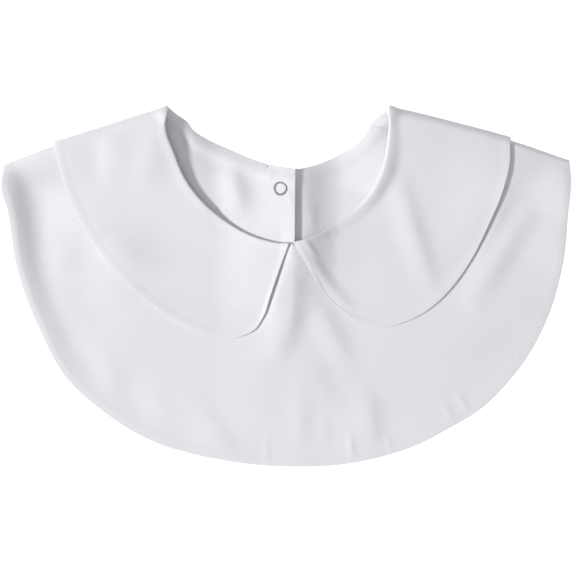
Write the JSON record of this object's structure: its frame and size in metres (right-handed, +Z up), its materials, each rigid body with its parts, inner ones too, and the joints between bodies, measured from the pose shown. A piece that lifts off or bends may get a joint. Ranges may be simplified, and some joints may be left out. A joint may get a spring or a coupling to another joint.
{
  "type": "false collar",
  "caption": "White cotton false collar: two round collar leaves on a cape yoke, snapped at the centre back, laid flat with the front folded over the back.",
  "frame": {"origin": "centre of the object's bounding box, on the surface that it lies on", "axes": "+X to the viewer's right along the shoulders, +Y towards the neck, +Z up from the surface"},
  "size_m": [0.3785, 0.2419, 0.0168],
  "materials": {
    "yoke_front": "matt white cotton poplin",
    "yoke_back_left": "matt white cotton poplin",
    "yoke_back_right": "matt white cotton poplin",
    "leaf_left": "matt white cotton poplin",
    "leaf_right": "matt white cotton poplin",
    "snap_ring_inner": "bright pressed steel",
    "snap_stud": "bright pressed steel",
    "snap_socket": "bright pressed steel",
    "snap_ring_outer": "bright pressed steel"
  },
  "bodies": {
    "root": {"yoke_front": "yoke_front", "yoke_back_left": "yoke_back_left", "yoke_back_right": "yoke_back_right", "leaf_left": "leaf_left", "leaf_right": "leaf_right", "snap_ring_inner": "snap_ring_inner", "snap_stud": "snap_stud", "snap_socket": "snap_socket", "snap_ring_outer": "snap_ring_outer"}
  },
  "joints": []
}
